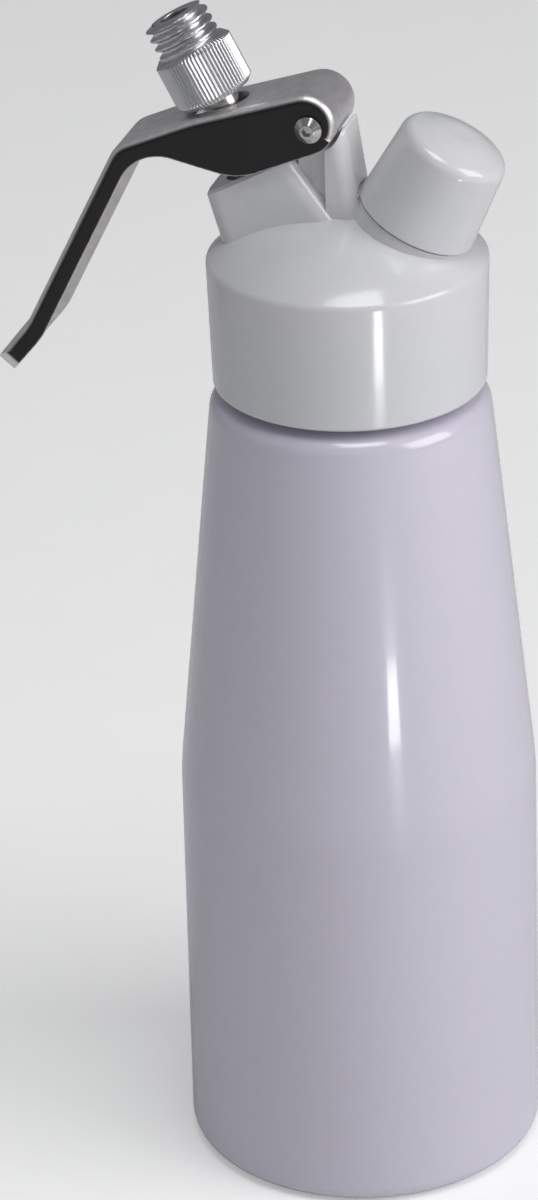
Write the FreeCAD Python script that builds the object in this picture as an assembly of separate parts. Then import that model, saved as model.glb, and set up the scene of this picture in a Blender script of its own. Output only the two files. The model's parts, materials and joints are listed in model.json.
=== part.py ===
"""Whipped cream dispenser, half litre: aluminium bottle, moulded head, lever valve and charger port."""
import FreeCAD, Part
import math
import os

V = FreeCAD.Vector

# Corner roundings shared by all pieces
edge_round = 0.5
fine_round = 0.3
cut_over = 1.0

# Bottle
base_r = 40.0
base_corner_r = 4.0
groove_in = 24.0
groove_out = 32.0
groove_depth = 1.2
kink_z = 92.4
kink_r = 39.5
kink_blend_r = 70.0
shoulder_z = 182.6
shoulder_r = 30.1
shoulder_corner_r = 4.6
shoulder_rise = 0.8
step_round = 0.6
body_wall = 1.6
base_wall = 3.0
neck_r = 25.2
neck_wall = 2.6
mouth_z = 203.5
mouth_round = 0.8
shoulder_slope_z = 168.0
neck_blend_r = 6.0

# Head moulding
rim_z = 185.1
rim_r = 29.45
dome_edge_r = 30.15
dome_edge_round = 1.6
rim_round = 0.8
dome_r = 46.0
dome_top_z = 224.5
dome_centre_z = dome_top_z - dome_r
dome_edge_z = dome_centre_z + math.sqrt(dome_r ** 2 - dome_edge_r ** 2)
head_wall = 4.5
gasket_th = 2.0
deck_z = mouth_z + gasket_th
insert_wall = 1.8
thread_gap = 0.3
insert_in = neck_r + thread_gap
insert_out = insert_in + insert_wall
insert_z0 = rim_z + 1.4
insert_z1 = 202.0
gasket_seat_r = 26.6
gasket_gap = 0.2
inner_vault_r = 22.0

# Both ports lean away from the bottle's axis and meet on it
port_tilt = 27.3
port_origin_z = 193.5

# Outlet boss and valve, measured along the outlet's axis
boss_top = 43.5
boss_foot = 26.0
boss_half_len_top = 10.6
boss_half_len_foot = 13.7
boss_half_wid_top = 7.6
boss_half_wid_foot = 8.6
boss_corner_r = 3.5
boss_chamfer = 0.7
inner_boss_end = 20.0
outlet_inner_boss_r = 8.0
outlet_inner_boss_top = 34.0
stem_r = 4.2
stem_bore_r = 2.6
stem_bore_floor = 21.0
chamber_r = 5.0
ring_seat = 26.5
guide_seat = 29.0
guide_r = 6.0
guide_bore_gap = 0.06
pocket_floor = 33.0
pocket_r = 6.6
guide_flange_th = 1.2
guide_flange_r = 6.5
ring_wire = 0.85
seal_r = 6.6
seal_th = 2.4
plug_r = 6.2
plug_th = 2.0
plug_nose = 1.6
plug_nose_r = 3.0
collar_top = 56.0
collar_th = 1.6
collar_r = 7.2
collar_round = 0.4
collar_to_adapter = 4.3
adapter_foot = collar_top + collar_to_adapter
stem_in_adapter = 9.2
stem_top = adapter_foot + stem_in_adapter
stem_slot_r = 1.7
stem_slot_at = 23.2
spring_wire_r = 0.65
spring_mean_r = 5.35
spring_turns = 7

# Nozzle adapter
adapter_len = 11.8
adapter_r = 8.7
adapter_chamfer = 1.1
stud_r = 7.0
stud_len = 7.6
stud_chamfer = 0.8
adapter_bore_gap = 0.1
adapter_bore_r = stem_r + adapter_bore_gap
outlet_bore_r = 3.2
adapter_seal_th = 1.5

# Lever
pivot_x = -5.2
pivot_z = 244.5
sheet = 1.2
lever_half_wid = 9.4
nose_r = 6.4
nose_x = pivot_x - 1.0
nose_z = pivot_z + 0.7
nose_end_deg = -30.0
plate_slope = 17.0
plate_len = 24.0
rear_slope = 22.5
rear_len = 18.5
handle_slope = 63.0
handle_len = 47.9
flare_slope = 50.0
flare_len = 12.4
plate_bend_r = 60.0
handle_bend_r = 7.0
flare_bend_r = 16.0
handle_depth = 4.4
tip_plan_r = 6.5
tip_r = 2.1
belly = (-15.9, -12.3)
belly_r = 14.0
heel = (-37.9, -7.0)
heel_r = 10.0
edge_bend_r = 1.8
slot_half_wid = 5.0
slot_toward_pivot = 6.4
slot_toward_handle = 7.6
slot_corner_r = 4.99

# Tower and pivot
tower_half_wid = 7.0
tower_left_x = -2.6
tower_right_top_x = 1.5
tower_right_foot_x = 5.6
tower_top_z = 243.3
tower_foot_z = 216.0
tower_round = 3.0
tower_top_round = 0.5
nose_clear_r = 6.05
web_half_wid = 5.0
web_overlap = 1.0
lug_r = 3.65
lug_half_wid = 7.9
axle_r = 2.0
axle_gap = 0.06
screw_head_r = 2.9
screw_head_h = 1.7
screw_crown_r = 1.5
screw_rim_h = 0.5
screw_head_gap = 0.1
screw_shank_r = 1.4
screw_len = 6.0
socket_r = 1.1
socket_depth = 1.0

# Charger port, measured along its own axis
port_boss_top = 32.6
port_boss_r = 12.6
port_inner_boss_r = 9.5
nipple_seat = 24.0
nipple_r = 7.5
nipple_thread_r = 10.3
nipple_top = 44.5
nipple_recess_r = 6.2
nipple_recess_floor = 38.5
nipple_bore_r = 3.0
nipple_round = 0.8
port_seal_th = 1.2
port_seal_in = 4.5
pin_foot = 30.0
pin_body_top = 36.5
pin_r = 1.2
pin_top = 42.6
pin_taper = 2.4
gas_hole_r = 0.7
pin_gasket_th = 1.8
pin_gasket_in = 2.4
valve_hole_r = 3.25
valve_flange_r = 5.2
valve_flange_th = 1.5
valve_tube_r = 2.4
valve_tube_len = 6.0
sleeve_wall = 1.0
sleeve_len = 5.0

# Port cap
cap_foot = 33.0
cap_foot_r = 13.3
cap_top_r = 11.8
cap_shoulder = 52.5
cap_top_round = 3.0
cap_crown = 2.4
cap_crown_r = 14.0
cap_crown_half = 5.0
cap_mouth_round = 0.4
cap_thread_gap = 0.3
cap_bore_r = nipple_thread_r + cap_thread_gap
liner_th = 2.0
liner_gap = 0.7
cap_relief_gap = 0.6

os.makedirs("parts", exist_ok=True)


def save(name, shape):
    """Write one piece, cleaned of split faces, as its own file."""
    solid = shape.removeSplitter()
    if len(solid.Solids) == 1:
        solid = solid.Solids[0]
    solid.exportStep("parts/" + name + ".step")
    print(name, "solids", len(shape.Solids), "volume", round(solid.Volume, 1), "valid", solid.isValid())


def corner_wire(points, lift):
    """Closed wire through (a, b, radius) corners, each rounded by its radius; lift maps (a, b) to 3-D."""
    count = len(points)
    starts = []
    ends = []
    mids = []
    for i in range(count):
        before = V(points[i - 1][0], points[i - 1][1], 0)
        here = V(points[i][0], points[i][1], 0)
        after = V(points[(i + 1) % count][0], points[(i + 1) % count][1], 0)
        radius = points[i][2]
        into = (before - here).normalize()
        out = (after - here).normalize()
        half = into.getAngle(out) / 2
        if radius == 0:
            starts.append(here)
            ends.append(here)
            mids.append(here)
            continue
        reach = radius / math.tan(half)
        centre = here + (into + out).normalize() * (radius / math.sin(half))
        starts.append(here + into * reach)
        ends.append(here + out * reach)
        mids.append(centre + (here - centre).normalize() * radius)
    edges = []
    for i in range(count):
        if points[i][2] > 0:
            edges.append(Part.Arc(lift(starts[i]), lift(mids[i]), lift(ends[i])).toShape())
        nxt = (i + 1) % count
        if (starts[nxt] - ends[i]).Length > 1e-6:
            edges.append(Part.LineSegment(lift(ends[i]), lift(starts[nxt])).toShape())
    return Part.Wire(edges)


def turned(points):
    """Solid of revolution about Z from (radius, height, corner radius) points."""
    wire = corner_wire(points, lambda p: V(p.x, 0, p.y))
    return Part.Face(wire).revolve(V(0, 0, 0), V(0, 0, 1), 360)


def side_plate(points, half_wid):
    """Plate between -half_wid and +half_wid across Y, with an outline of (x, z, corner radius) points."""
    wire = corner_wire(points, lambda p: V(p.x, -half_wid, p.y))
    return Part.Face(wire).extrude(V(0, 2 * half_wid, 0))


def cross_rod(radius, half_wid, x, z):
    """Round bar across Y, centred on the symmetry plane."""
    return Part.makeCylinder(radius, 2 * half_wid, V(x, -half_wid, z), V(0, 1, 0))


def ring(r_in, r_out, z0, z1):
    """Flat ring about Z."""
    return turned([(r_in, z0, 0), (r_out, z0, 0), (r_out, z1, 0), (r_in, z1, 0)])


def rod(radius, z0, z1):
    """Round bar about Z."""
    return Part.makeCylinder(radius, z1 - z0, V(0, 0, z0))


def leaned(shape, tilt):
    """Move a piece built along Z into a port's frame, which leans by tilt degrees toward +X."""
    moved = shape.copy()
    moved.rotate(V(0, 0, 0), V(0, 1, 0), tilt)
    moved.translate(V(0, 0, port_origin_z))
    return moved


def outlet(shape):
    """Move a piece built along Z onto the outlet's axis."""
    return leaned(shape, -port_tilt)


def charger(shape):
    """Move a piece built along Z onto the charger port's axis."""
    return leaned(shape, port_tilt)


def bottle():
    """Impact-drawn shell: grooved base, soft kink, cone, shoulder and plain neck."""
    slope = (kink_r - shoulder_r) / (shoulder_z - kink_z)
    inner_kink = kink_r - body_wall
    inner_top = kink_r - slope * (shoulder_slope_z - kink_z) - body_wall
    neck_in = neck_r - neck_wall
    points = [
        (0, 0, 0),
        (groove_in, 0, 0),
        (groove_in + groove_depth, groove_depth, step_round),
        (groove_out - groove_depth, groove_depth, step_round),
        (groove_out, 0, 0),
        (base_r, 0, base_corner_r),
        (kink_r, kink_z, kink_blend_r),
        (shoulder_r, shoulder_z, shoulder_corner_r),
        (neck_r, shoulder_z + shoulder_rise, step_round),
        (neck_r, mouth_z, mouth_round),
        (neck_in, mouth_z, mouth_round),
        (neck_in, shoulder_z - neck_blend_r, neck_blend_r / 2),
        (inner_top, shoulder_slope_z, neck_blend_r),
        (inner_kink, kink_z, kink_blend_r - body_wall),
        (base_r - body_wall, base_wall, base_corner_r),
        (0, base_wall, 0),
    ]
    return turned(points)


def head_body():
    """Domed cap with its skirt, solid inside."""
    blank = turned([
        (0, rim_z, 0),
        (rim_r, rim_z, rim_round),
        (dome_edge_r, dome_edge_z, 0),
        (0, dome_edge_z, 0),
    ])
    skirt = Part.makeCylinder(dome_edge_r, dome_r, V(0, 0, dome_edge_z))
    ball = Part.makeSphere(dome_r, V(0, 0, dome_centre_z))
    whole = blank.fuse(ball.common(skirt)).removeSplitter()
    rim = [e for e in whole.Edges
           if abs(e.BoundBox.ZMin - dome_edge_z) < 0.01
           and abs(e.BoundBox.ZMax - dome_edge_z) < 0.01]
    return whole.makeFillet(dome_edge_round, rim)


def outlet_boss():
    """Tapered block with rounded corners that carries the valve."""
    sections = []
    for height, half_len, half_wid in (
            (boss_foot, boss_half_len_foot, boss_half_wid_foot),
            (boss_top, boss_half_len_top, boss_half_wid_top)):
        corners = [
            (half_len, half_wid, boss_corner_r),
            (-half_len, half_wid, boss_corner_r),
            (-half_len, -half_wid, boss_corner_r),
            (half_len, -half_wid, boss_corner_r),
        ]
        sections.append(corner_wire(corners, lambda p, h=height: V(p.x, p.y, h)))
    block = Part.makeLoft(sections, True, True)
    top = [e for e in block.Edges
           if all(abs(v.Z - boss_top) < 0.001 for v in e.Vertexes)]
    return block.makeChamfer(boss_chamfer, top)


def tower():
    """Post behind the lever's nose, the recessed web and the lug that holds the axle."""
    arc_foot_z = pivot_z - math.sqrt(nose_clear_r ** 2 - (tower_left_x - pivot_x) ** 2)
    post = side_plate([
        (tower_left_x, tower_foot_z, 0),
        (tower_right_foot_x, tower_foot_z, 0),
        (tower_right_top_x, tower_top_z, tower_top_round),
        (tower_left_x, tower_top_z, 0),
    ], tower_half_wid)
    lean = [e for e in post.Edges
            if len(e.Vertexes) == 2
            and abs(e.Vertexes[0].Y - e.Vertexes[1].Y) < 0.001
            and abs(e.Vertexes[0].Z - e.Vertexes[1].Z) > 5
            and min(v.X for v in e.Vertexes) > tower_left_x + cut_over]
    post = post.makeFillet(tower_round, lean)
    post = post.cut(cross_rod(nose_clear_r, lever_half_wid, pivot_x, pivot_z))
    web = side_plate([
        (pivot_x - lug_r, tower_foot_z, 0),
        (tower_left_x + web_overlap, tower_foot_z, 0),
        (tower_left_x + web_overlap, arc_foot_z - web_overlap, 0),
        (tower_left_x, arc_foot_z - web_overlap, 0),
        (tower_left_x, pivot_z - lug_r, 0),
        (pivot_x, pivot_z, 0),
        (pivot_x - lug_r, pivot_z, 0),
    ], web_half_wid)
    lug = cross_rod(lug_r, lug_half_wid, pivot_x, pivot_z)
    return post.fuse(web).fuse(lug)


def head_shell():
    """The head moulding: dome, outlet boss, tower and port boss, with all its bores."""
    shell = head_body()
    shell = shell.fuse(outlet(outlet_boss()))
    shell = shell.fuse(charger(rod(port_boss_r, inner_boss_end, port_boss_top)))
    shell = shell.fuse(tower())
    vault = Part.makeSphere(dome_r - head_wall, V(0, 0, dome_centre_z))
    vault = vault.common(rod(inner_vault_r, deck_z, dome_top_z))
    vault = vault.cut(outlet(rod(outlet_inner_boss_r, inner_boss_end, outlet_inner_boss_top)))
    vault = vault.cut(charger(rod(port_inner_boss_r, inner_boss_end, port_boss_top)))
    shell = shell.cut(vault)
    shell = shell.cut(rod(insert_out, rim_z - cut_over, insert_z1))
    shell = shell.cut(rod(gasket_seat_r, insert_z1, deck_z))
    shell = shell.cut(outlet(rod(chamber_r, inner_boss_end - cut_over, ring_seat)))
    shell = shell.cut(outlet(rod(guide_r, ring_seat, pocket_floor)))
    shell = shell.cut(outlet(rod(pocket_r, pocket_floor, boss_top + cut_over)))
    shell = shell.cut(charger(rod(valve_hole_r, inner_boss_end - cut_over, nipple_seat)))
    shell = shell.cut(charger(rod(nipple_r, nipple_seat, port_boss_top + cut_over)))
    relief = rod(cap_foot_r + cap_relief_gap, port_boss_top, cap_shoulder)
    shell = shell.cut(charger(relief))
    return shell.cut(cross_rod(axle_r + axle_gap, lug_half_wid + cut_over, pivot_x, pivot_z))


def valve_guide():
    """Flanged bush that guides the stem and seats the spring."""
    bore = stem_r + guide_bore_gap
    return outlet(turned([
        (bore, guide_seat, 0),
        (guide_r, guide_seat, 0),
        (guide_r, pocket_floor, 0),
        (guide_flange_r, pocket_floor, 0),
        (guide_flange_r, pocket_floor + guide_flange_th, fine_round),
        (bore, pocket_floor + guide_flange_th, fine_round),
    ]))


def stem_ring():
    """Sealing ring in its seat below the guide."""
    centre_r = guide_r - ring_wire
    height = ring_seat + ring_wire
    return outlet(Part.makeTorus(centre_r, ring_wire, V(0, 0, height)))


def valve_stem():
    """Hollow stem: plug below, cross holes, collar under the lever and plain threaded top."""
    plug_top = inner_boss_end - seal_th
    plug_foot = plug_top - plug_th
    solid = turned([
        (0, plug_foot - plug_nose, 0),
        (plug_nose_r, plug_foot - plug_nose, edge_round),
        (plug_r, plug_foot, fine_round),
        (plug_r, plug_top, 0),
        (stem_r, plug_top, 0),
        (stem_r, collar_top - collar_th, 0),
        (collar_r, collar_top - collar_th, collar_round),
        (collar_r, collar_top, collar_round),
        (stem_r, collar_top, 0),
        (stem_r, stem_top, edge_round),
        (0, stem_top, 0),
    ])
    solid = solid.cut(rod(stem_bore_r, stem_bore_floor, stem_top + cut_over))
    for turn in (0, 90):
        hole = Part.makeCylinder(stem_slot_r, 4 * stem_r, V(-2 * stem_r, 0, stem_slot_at), V(1, 0, 0))
        hole.rotate(V(0, 0, 0), V(0, 0, 1), turn)
        solid = solid.cut(hole)
    return outlet(solid)


def biarc(p1, t1, p2, t2):
    """Two arcs that join p1 to p2 and keep the unit directions t1 and t2."""
    v = p2 - p1
    t = t1 + t2
    spread = 2 * (1 - t1.dot(t2))
    d = (-v.dot(t) + math.sqrt(v.dot(t) ** 2 + spread * v.dot(v))) / spread
    q1 = p1 + t1 * d
    q2 = p2 - t2 * d
    joint = (q1 + q2) * 0.5
    arcs = []
    for start, apex, end in ((p1, q1, joint), (joint, q2, p2)):
        middle = (start + end) * 0.5
        half = (end - start).Length / 2
        rise = (apex - middle).Length
        sagitta = half * math.tan(math.atan2(rise, half) / 2)
        crown = middle + (apex - middle).normalize() * sagitta
        arcs.append(Part.Arc(start, crown, end).toShape())
    return arcs


def valve_spring():
    """Open coil of round wire between the guide's flange and the stem's collar."""
    z0 = pocket_floor + guide_flange_th + spring_wire_r
    z1 = collar_top - collar_th - spring_wire_r
    pitch = (z1 - z0) / spring_turns
    quarters = 4 * spring_turns
    step = math.pi / 2
    points = []
    ways = []
    for i in range(quarters + 1):
        a = i * step
        points.append(V(spring_mean_r * math.cos(a), spring_mean_r * math.sin(a), z0 + pitch * i / 4))
        way = V(-spring_mean_r * math.sin(a), spring_mean_r * math.cos(a), pitch / (2 * math.pi))
        ways.append(way.normalize())
    edges = []
    for i in range(quarters):
        edges += biarc(points[i], ways[i], points[i + 1], ways[i + 1])
    path = Part.Wire(edges)
    section = Part.Wire([Part.Circle(points[0], ways[0], spring_wire_r).toShape()])
    samples = path.discretize(Number=40 * spring_turns)
    turn = 40
    gaps = [(samples[i] - samples[j]).Length
            for i in range(len(samples))
            for j in range(i + turn // 2, min(i + turn + turn // 2, len(samples)))]
    print("spring least gap to itself", round(min(gaps) - 2 * spring_wire_r, 2))
    return outlet(path.makePipeShell([section], True, False))


def nozzle_adapter():
    """Collar with a threaded stud for decorating tips; knurl and thread are left to the surface."""
    top = adapter_foot + adapter_len
    return outlet(turned([
        (adapter_bore_r, adapter_foot, 0),
        (adapter_r - adapter_chamfer, adapter_foot, 0),
        (adapter_r, adapter_foot + adapter_chamfer, 0),
        (adapter_r, top - adapter_chamfer, 0),
        (adapter_r - adapter_chamfer, top, 0),
        (stud_r, top, 0),
        (stud_r, top + stud_len - stud_chamfer, 0),
        (stud_r - stud_chamfer, top + stud_len, 0),
        (outlet_bore_r, top + stud_len, fine_round),
        (outlet_bore_r, stem_top + adapter_seal_th, 0),
        (adapter_bore_r, stem_top + adapter_seal_th, 0),
    ]))


def heading(start, degrees, length):
    """Point reached from start on a way that falls by degrees toward the handle."""
    a = math.radians(degrees)
    return (start[0] - math.cos(a) * length, start[1] - math.sin(a) * length)


def inward(point, degrees, depth):
    """Point moved by depth to the inner side of a way that falls by degrees."""
    a = math.radians(degrees)
    return (point[0] + math.sin(a) * depth, point[1] - math.cos(a) * depth)


def mitre(point, first, second, depth):
    """Corner of the outline offset inward by depth, between two ways."""
    mean = (first + second) / 2
    return inward(point, mean, depth / math.cos(math.radians((second - first) / 2)))


def lever():
    """Stamped channel: sloping plate, wrapped nose, bellied sides, handle and flared tip."""
    slope = math.radians(plate_slope)
    ways = [plate_slope, rear_slope, handle_slope, flare_slope]
    outer = [(nose_x - math.sin(slope) * nose_r, nose_z + math.cos(slope) * nose_r)]
    for way, length in zip(ways, (plate_len, rear_len, handle_len, flare_len)):
        outer.append(heading(outer[-1], way, length))
    bends = (plate_bend_r, handle_bend_r, flare_bend_r)
    knee = mitre(outer[3], handle_slope, flare_slope, handle_depth)
    tip_in = inward(outer[4], flare_slope, handle_depth)
    belly_at = (pivot_x + belly[0], pivot_z + belly[1])
    heel_at = (pivot_x + heel[0], pivot_z + heel[1])
    belly_way = math.atan2(nose_z - nose_r - belly_at[1], nose_x - belly_at[0])
    nose_foot = (nose_x + math.sin(belly_way) * nose_r, nose_z - math.cos(belly_way) * nose_r)
    outline = [(outer[0][0], outer[0][1], 0)]
    outline += [(p[0], p[1], r) for p, r in zip(outer[1:4], bends)]
    outline += [
        (outer[4][0], outer[4][1], tip_r),
        (tip_in[0], tip_in[1], 0),
        (knee[0], knee[1], flare_bend_r + handle_depth),
        (heel_at[0], heel_at[1], heel_r),
        (belly_at[0], belly_at[1], belly_r),
        (nose_foot[0], nose_foot[1], 0),
        (nose_x, nose_z, 0),
    ]
    blank = side_plate(outline, lever_half_wid)
    blank = blank.fuse(nose_sector(nose_end_deg, 90 + plate_slope)).removeSplitter()
    bent = []
    for edge in blank.Edges:
        mid = edge.valueAt((edge.FirstParameter + edge.LastParameter) / 2)
        if abs(abs(mid.y) - lever_half_wid) > 0.001:
            continue
        if on_back(mid, outer) or on_nose(mid):
            bent.append(edge)
    blank = blank.makeFillet(edge_bend_r, bent)
    blank = blank.fuse(nose_sector(math.degrees(belly_way) - 90, nose_end_deg))
    cavity = side_plate(pocket_outline(outer, ways, bends), lever_half_wid - sheet)
    cavity = cavity.fuse(cross_rod(nose_r - sheet, lever_half_wid - sheet, nose_x, nose_z))
    blank = blank.cut(tip_corners(outer[4]))
    cavity = cavity.cut(tip_corners(outer[4], sheet))
    channel = blank.cut(cavity)
    slot = corner_wire([
        (slot_toward_pivot, slot_half_wid, slot_corner_r),
        (-slot_toward_handle, slot_half_wid, slot_corner_r),
        (-slot_toward_handle, -slot_half_wid, slot_corner_r),
        (slot_toward_pivot, -slot_half_wid, slot_corner_r),
    ], lambda p: V(p.x, p.y, collar_top - cut_over))
    channel = channel.cut(outlet(Part.Face(slot).extrude(V(0, 0, adapter_foot - collar_top))))
    return channel.cut(cross_rod(axle_r + axle_gap, lever_half_wid + cut_over, pivot_x, pivot_z))


def tip_corners(tip, wall=0):
    """Two cutters that round the handle's free end in plan, square to the flared part; wall thickens them."""
    reach = 4 * handle_depth
    half = lever_half_wid + cut_over
    frame_end = corner_wire([
        (-half, -half, 0),
        (half, -half, 0),
        (half, half, 0),
        (-half, half, 0),
    ], lambda p: V(p.x, p.y, -reach))
    block = Part.Face(frame_end).extrude(V(0, 0, 2 * reach))
    keep = corner_wire([
        (wall, lever_half_wid - wall, tip_plan_r - wall),
        (4 * half, lever_half_wid - wall, 0),
        (4 * half, wall - lever_half_wid, 0),
        (wall, wall - lever_half_wid, tip_plan_r - wall),
    ], lambda p: V(p.x, p.y, -reach))
    block = block.cut(Part.Face(keep).extrude(V(0, 0, 2 * reach)))
    block.rotate(V(0, 0, 0), V(0, 1, 0), -flare_slope)
    block.translate(V(tip[0], 0, tip[1]))
    return block


def nose_sector(start, end):
    """Part of the nose's round disc between two angles about its centre, in degrees."""
    reach = 3 * nose_r
    corners = [(nose_x, nose_z, 0)]
    for a in (start, (start + end) / 2, end):
        turn = math.radians(a)
        corners.append((nose_x + reach * math.cos(turn), nose_z + reach * math.sin(turn), 0))
    wedge = side_plate(corners, lever_half_wid)
    return wedge.common(cross_rod(nose_r, lever_half_wid, nose_x, nose_z))


def on_back(point, outer):
    """True for a point on, or just inside the bends of, the lever's outer line."""
    for (x0, z0), (x1, z1) in zip(outer, outer[1:]):
        length = math.hypot(x1 - x0, z1 - z0)
        along = ((point.x - x0) * (x1 - x0) + (point.z - z0) * (z1 - z0)) / length
        off = abs((point.x - x0) * (z1 - z0) - (point.z - z0) * (x1 - x0)) / length
        if -1 < along < length + 1 and off < sheet:
            return True
    return False


def on_nose(point):
    """True for a point on the wrapped part of the nose."""
    reach = math.hypot(point.x - nose_x, point.z - nose_z)
    turn = math.degrees(math.atan2(point.z - nose_z, point.x - nose_x))
    return abs(reach - nose_r) < 0.01 and nose_end_deg < turn < 90 + plate_slope


def pocket_outline(outer, ways, bends):
    """Side outline of the space inside the channel, open below and in front of the nose's end."""
    top = inward(outer[0], plate_slope, sheet)
    pts = [(top[0], top[1], 0)]
    for i in (1, 2, 3):
        p = mitre(outer[i], ways[i - 1], ways[i], sheet)
        turn = 1 if ways[i] > ways[i - 1] else -1
        pts.append((p[0], p[1], bends[i - 1] - turn * sheet))
    last = heading(inward(outer[4], flare_slope, sheet), flare_slope, -sheet)
    deep = inward(last, flare_slope, 3 * handle_depth)
    end = math.radians(nose_end_deg)
    clear = 2 * nose_r
    pts += [
        (last[0], last[1], tip_r - sheet),
        (deep[0], deep[1], 0),
        (pivot_x + heel[0], pivot_z + 5 * heel[1], 0),
        (nose_x + clear, pivot_z + 5 * heel[1], 0),
        (nose_x + clear * math.cos(end), nose_z + clear * math.sin(end), 0),
        (nose_x, nose_z, 0),
    ]
    return pts


def pivot_axle():
    """Sleeve that the lever turns on, tapped at both ends."""
    half = lever_half_wid + screw_head_gap
    axle = cross_rod(axle_r, half, pivot_x, pivot_z)
    for side in (-1, 1):
        hole = Part.makeCylinder(screw_shank_r, screw_len, V(pivot_x, side * half, pivot_z), V(0, -side, 0))
        axle = axle.cut(hole)
    return axle


def pivot_screws():
    """Two button-head screws with hexagon sockets."""
    half = lever_half_wid + screw_head_gap
    crown = turned([
        (0, -screw_len, 0),
        (screw_shank_r, -screw_len, 0),
        (screw_shank_r, 0, 0),
        (screw_head_r, 0, 0),
        (screw_head_r, screw_rim_h, 0),
        (screw_crown_r, screw_head_h, fine_round),
        (0, screw_head_h, 0),
    ])
    hexagon = [V(socket_r * math.cos(math.radians(60 * i)), socket_r * math.sin(math.radians(60 * i)),
                 screw_head_h - socket_depth) for i in range(7)]
    crown = crown.cut(Part.Face(Part.makePolygon(hexagon)).extrude(V(0, 0, 2 * socket_depth)))
    pair = []
    for side in (-1, 1):
        screw = crown.copy()
        screw.rotate(V(0, 0, 0), V(1, 0, 0), -90 * side)
        screw.translate(V(pivot_x, side * half, pivot_z))
        pair.append(screw)
    return Part.makeCompound(pair)


def charger_port():
    """Threaded metal nipple that the charger holder, and at rest the cap, screws onto."""
    foot = nipple_seat + port_seal_th
    return charger(turned([
        (nipple_bore_r, foot, 0),
        (nipple_r, foot, 0),
        (nipple_r, port_boss_top, 0),
        (nipple_thread_r, port_boss_top, 0),
        (nipple_thread_r, nipple_top, nipple_round),
        (nipple_recess_r, nipple_top, edge_round),
        (nipple_recess_r, nipple_recess_floor, 0),
        (nipple_bore_r, nipple_recess_floor, 0),
    ]))


def piercing_pin():
    """Stepped pin with a sharp tip and a gas way beside its spike."""
    pin = turned([
        (0, pin_foot, 0),
        (nipple_bore_r, pin_foot, 0),
        (nipple_bore_r, pin_body_top, fine_round),
        (pin_r, pin_body_top, 0),
        (pin_r, pin_top - pin_taper, 0),
        (0, pin_top, 0),
    ])
    way_x = (nipple_bore_r + pin_r) / 2
    way = Part.makeCylinder(gas_hole_r, pin_body_top - pin_foot + 2 * cut_over,
                            V(way_x, 0, pin_foot - cut_over))
    return charger(pin.cut(way))


def check_valve_body():
    """Flanged plug below the port with a closed tube, a centre way and a cross hole."""
    foot = inner_boss_end - valve_flange_th
    tube_foot = foot - valve_tube_len
    body = turned([
        (0, tube_foot, 0),
        (valve_tube_r, tube_foot, edge_round),
        (valve_tube_r, foot, 0),
        (valve_flange_r, foot, fine_round),
        (valve_flange_r, inner_boss_end, 0),
        (valve_hole_r, inner_boss_end, 0),
        (valve_hole_r, nipple_seat, 0),
        (0, nipple_seat, 0),
    ])
    body = body.cut(rod(gas_hole_r, tube_foot + valve_tube_len / 2, nipple_seat + cut_over))
    cross = Part.makeCylinder(gas_hole_r, 4 * valve_tube_r,
                              V(-2 * valve_tube_r, 0, tube_foot + valve_tube_len / 2), V(1, 0, 0))
    return charger(body.cut(cross))


def port_cap():
    """Closed cap, slightly wider at its foot, with a rounded and crowned top."""
    ceiling = nipple_top + liner_th
    cap = turned([
        (0, ceiling, 0),
        (cap_bore_r, ceiling, edge_round),
        (cap_bore_r, cap_foot, cap_mouth_round),
        (cap_foot_r, cap_foot, edge_round),
        (cap_top_r, cap_shoulder, cap_top_round),
        (cap_crown_half, cap_shoulder + cap_crown, cap_crown_r),
        (0, cap_shoulder + cap_crown, 0),
    ])
    return charger(cap)


save("bottle", bottle())
save("head_gasket", ring(neck_r - neck_wall, gasket_seat_r - gasket_gap, mouth_z, deck_z))
save("head_shell", head_shell())
save("thread_insert", ring(insert_in, insert_out, insert_z0, insert_z1))
save("valve_guide", valve_guide())
save("stem_ring", stem_ring())
save("valve_stem", valve_stem())
save("valve_seal", outlet(ring(stem_r, seal_r, inner_boss_end - seal_th, inner_boss_end)))
save("valve_spring", valve_spring())
save("nozzle_adapter", nozzle_adapter())
save("adapter_seal", outlet(ring(stem_bore_r, adapter_bore_r, stem_top, stem_top + adapter_seal_th)))
save("lever", lever())
save("pivot_axle", pivot_axle())
save("pivot_screws", pivot_screws())
save("charger_port", charger_port())
save("port_seal", charger(ring(port_seal_in, nipple_r, nipple_seat, nipple_seat + port_seal_th)))
save("pin_gasket", charger(ring(pin_gasket_in, nipple_recess_r, nipple_recess_floor,
                                nipple_recess_floor + pin_gasket_th)))
save("piercing_pin", piercing_pin())
save("check_valve_body", check_valve_body())
save("check_valve_sleeve", charger(ring(valve_tube_r, valve_tube_r + sleeve_wall,
                                        inner_boss_end - valve_flange_th - sleeve_len,
                                        inner_boss_end - valve_flange_th)))
save("port_cap", port_cap())
save("port_cap_liner", charger(rod(cap_bore_r - liner_gap, nipple_top, nipple_top + liner_th)))
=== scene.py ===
"""Whipped cream dispenser: its surfaces, materials, stage and camera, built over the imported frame."""
import json
import math

import bmesh
import bpy
import numpy as np
from mathutils import Matrix, Vector

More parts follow.
